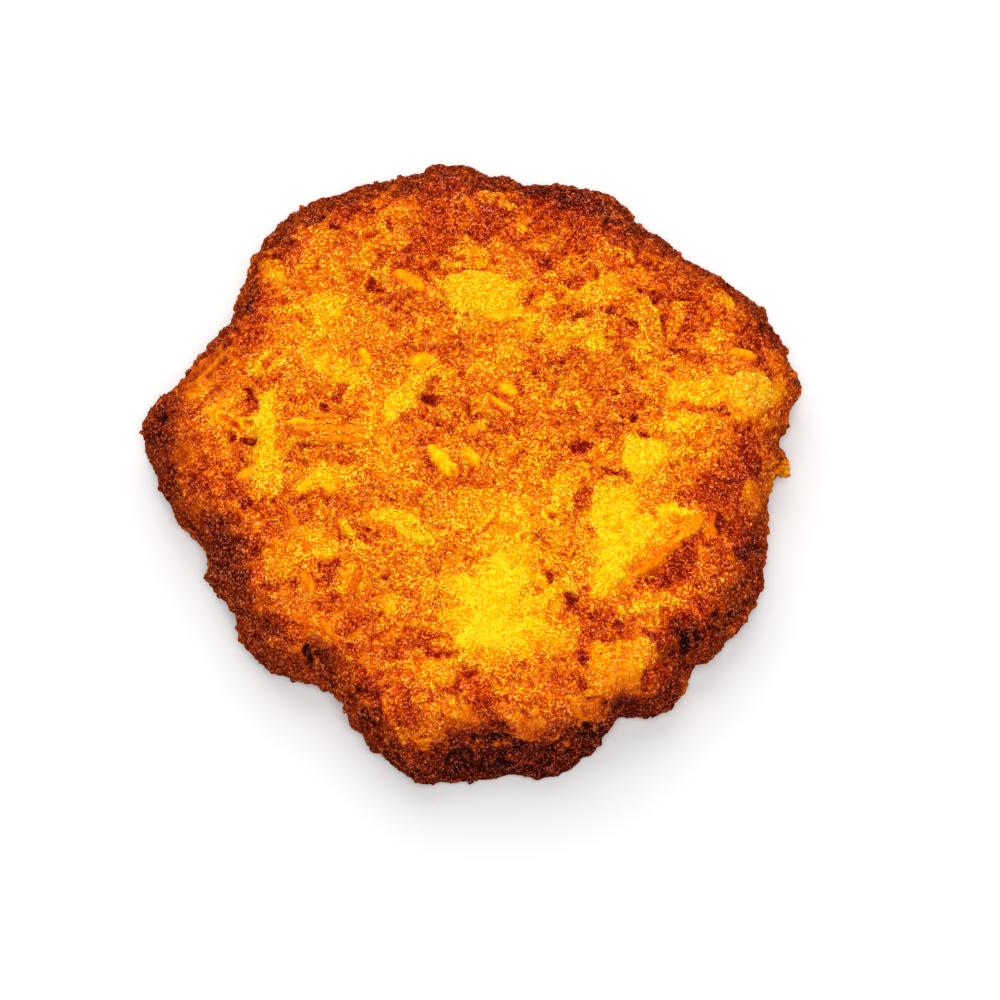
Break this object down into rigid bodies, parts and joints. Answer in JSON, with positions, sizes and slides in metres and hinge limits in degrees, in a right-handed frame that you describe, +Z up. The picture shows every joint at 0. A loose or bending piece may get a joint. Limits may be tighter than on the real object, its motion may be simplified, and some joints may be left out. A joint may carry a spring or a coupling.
{
  "type": "potato rosti",
  "caption": "Round, uneven fried cake of coarsely grated potato, with a golden mottled crust, dark craggy edges and a flat underside that rests on a plate.",
  "frame": {"origin": "under the middle of the bounding box, on the surface that the rosti rests on", "axes": "+Z up out of the fried top face, -Y towards the picture's lower edge, +X towards its right"},
  "size_m": [0.101, 0.0986, 0.0149],
  "materials": {
    "fried_crust": "fried grated potato, mottled from bright yellow to dark red-brown, darkest on the wall, finely granular and slightly oily"
  },
  "bodies": {
    "root": {"rosti": "fried_crust"}
  },
  "joints": []
}
